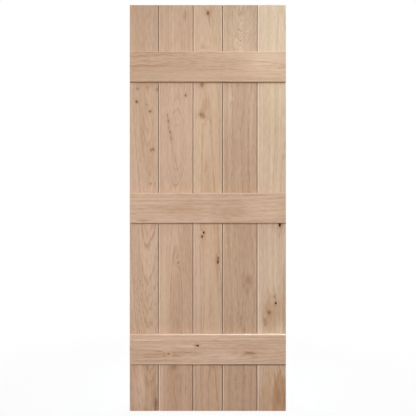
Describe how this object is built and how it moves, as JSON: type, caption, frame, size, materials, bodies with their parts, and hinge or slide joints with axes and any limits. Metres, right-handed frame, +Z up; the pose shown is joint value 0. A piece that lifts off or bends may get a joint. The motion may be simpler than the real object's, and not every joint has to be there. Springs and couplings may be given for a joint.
{
  "type": "ledged door leaf",
  "caption": "Ledged door leaf in bare oak: upright tongue-and-groove boards with V joints, held together by wide ledges screwed across one side, ready to hang on strap hinges.",
  "frame": {"origin": "on the leaf's bottom edge, in the middle of its width and of its thickness", "axes": "+Z up the leaf, +Y through its thickness from the ledge side to the plain side, +X to the right as seen from the ledge side"},
  "size_m": [0.762, 0.04, 1.981],
  "materials": {
    "board_oak": "planed and sanded oak with no finish, knots and grain along the board",
    "ledge_oak": "planed and sanded oak with no finish, grain across the leaf",
    "plug_oak": "turned oak plug, sanded flush",
    "screw_steel": "zinc-plated steel"
  },
  "bodies": {
    "root": {"left_outer_board": "board_oak", "left_wide_board": "board_oak", "centre_board": "board_oak", "right_wide_board": "board_oak", "right_outer_board": "board_oak", "top_ledge": "ledge_oak", "middle_ledge": "ledge_oak", "bottom_ledge": "ledge_oak", "top_ledge_screws": "screw_steel", "middle_ledge_screws": "screw_steel", "bottom_ledge_screws": "screw_steel", "top_ledge_plugs": "plug_oak", "middle_ledge_plugs": "plug_oak", "bottom_ledge_plugs": "plug_oak"}
  },
  "joints": []
}
